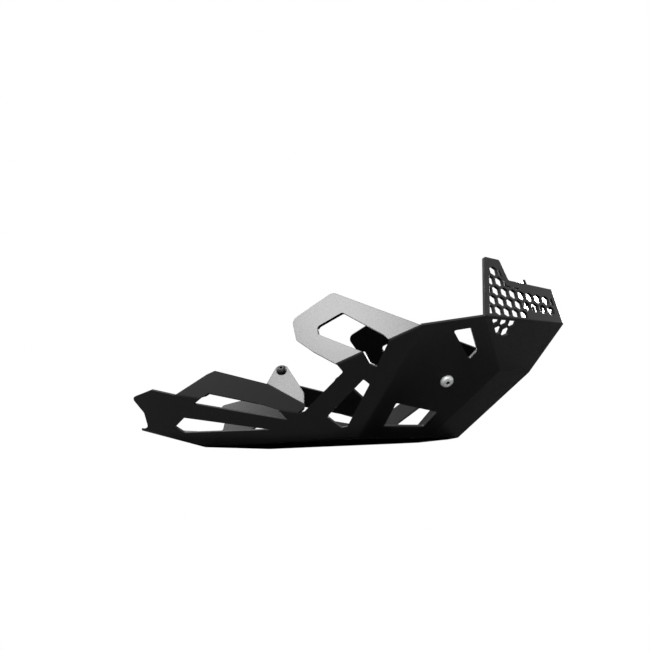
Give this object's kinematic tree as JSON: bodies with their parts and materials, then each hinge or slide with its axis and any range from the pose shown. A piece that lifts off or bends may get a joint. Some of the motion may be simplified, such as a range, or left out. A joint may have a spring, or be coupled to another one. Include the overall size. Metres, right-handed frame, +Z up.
{
  "type": "motorcycle engine guard",
  "caption": "Black folded aluminium engine guard with a V nose, honeycomb air band, hooked side arms and a kicked-up tail.",
  "frame": {"origin": "middle of the bounding box, on the underside of the flat floor", "axes": "+X towards the nose of the guard and the front wheel, +Y to the rider's left, +Z up, away from the floor"},
  "size_m": [0.6019, 0.3486, 0.226],
  "materials": {
    "powder_coat": "satin",
    "bright_screw": "satin",
    "black_screw": "satin",
    "spacer": "satin"
  },
  "bodies": {
    "root": {"guard_shell": "powder_coat", "cheek_screws": "bright_screw", "cheek_spacers": "spacer", "tab_screws": "black_screw", "tab_spacers": "spacer"}
  },
  "joints": []
}
